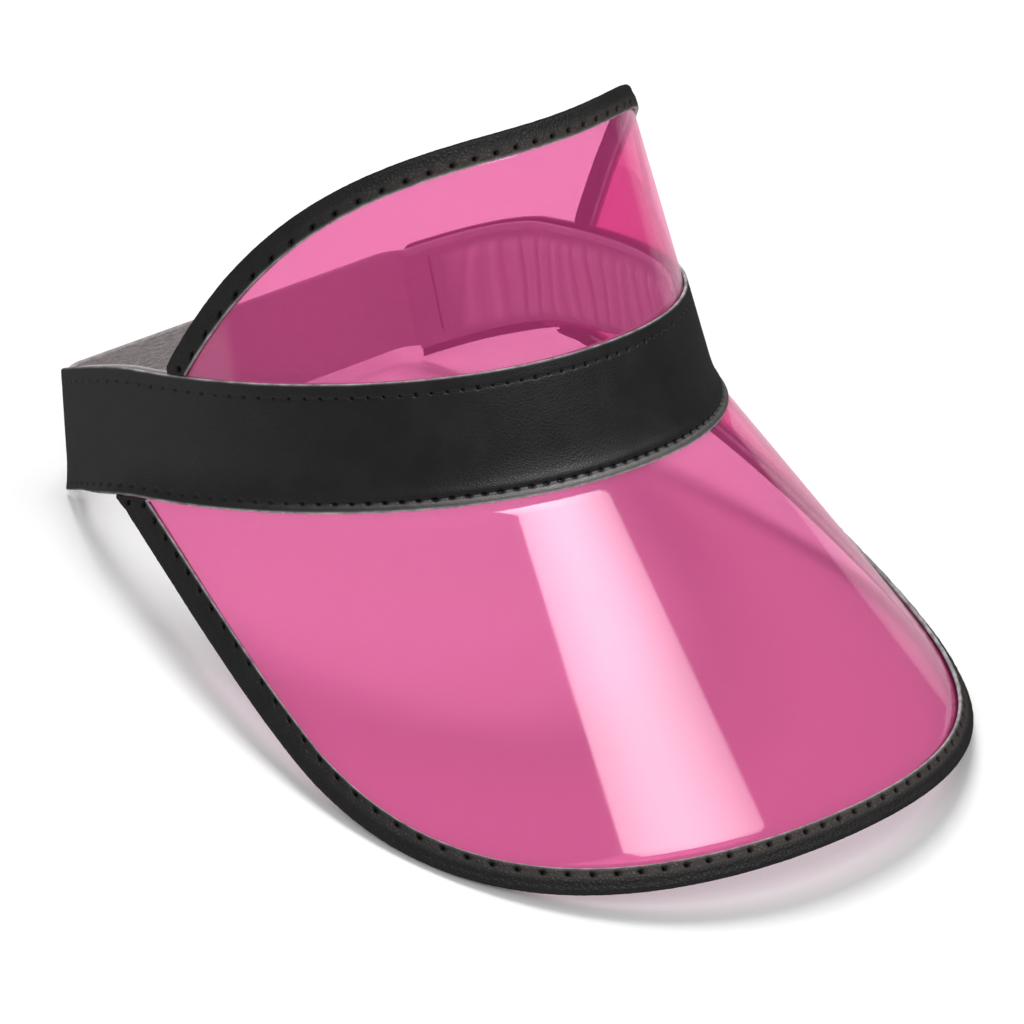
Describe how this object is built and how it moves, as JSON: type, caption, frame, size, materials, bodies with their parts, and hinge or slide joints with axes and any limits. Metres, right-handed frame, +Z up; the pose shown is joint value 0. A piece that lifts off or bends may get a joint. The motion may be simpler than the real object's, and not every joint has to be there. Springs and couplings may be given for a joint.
{
  "type": "sun visor",
  "caption": "Open-top sun visor: two clear pink cone-shaped sheets meet in a covered headband, edges bound in black vinyl, with an elastic strap behind the head.",
  "frame": {"origin": "middle of the bounding box, on the table the visor rests on", "axes": "+Z up from the table, -Y to the wearer's front (the brim), +X to the wearer's left; the headband is tilted back by about 24 degrees, as the visor rests on its brim and the ends of its headband"},
  "size_m": [0.2076, 0.2132, 0.1246],
  "materials": {
    "pink_sheet": "clear tinted PVC sheet, high gloss",
    "black_vinyl": "fine-grained vinyl, soft sheen",
    "foam": "closed-cell foam strip, matte",
    "sweatband_cloth": "brushed cloth, matte, creased",
    "gray_elastic": "knitted elastic, matte",
    "black_thread": "twisted sewing thread"
  },
  "bodies": {
    "visor": {"brim_panel": "pink_sheet", "crown_panel": "pink_sheet", "headband_cover": "black_vinyl", "headband_foam": "foam", "sweatband": "sweatband_cloth", "brim_binding": "black_vinyl", "crown_binding": "black_vinyl", "band_top_stitches": "black_thread", "band_bottom_stitches": "black_thread", "brim_binding_stitches": "black_thread", "crown_binding_stitches": "black_thread", "strap_stitches_right": "black_thread", "strap_stitches_left": "black_thread"},
    "strap": {"elastic_strap": "gray_elastic"}
  },
  "joints": [
    {"name": "strap_stretch", "type": "slide", "parent": "visor", "child": "strap", "axis": [0, 1, 0], "range_m": [0, 0.04], "stiffness_N_per_m": 150}
  ]
}
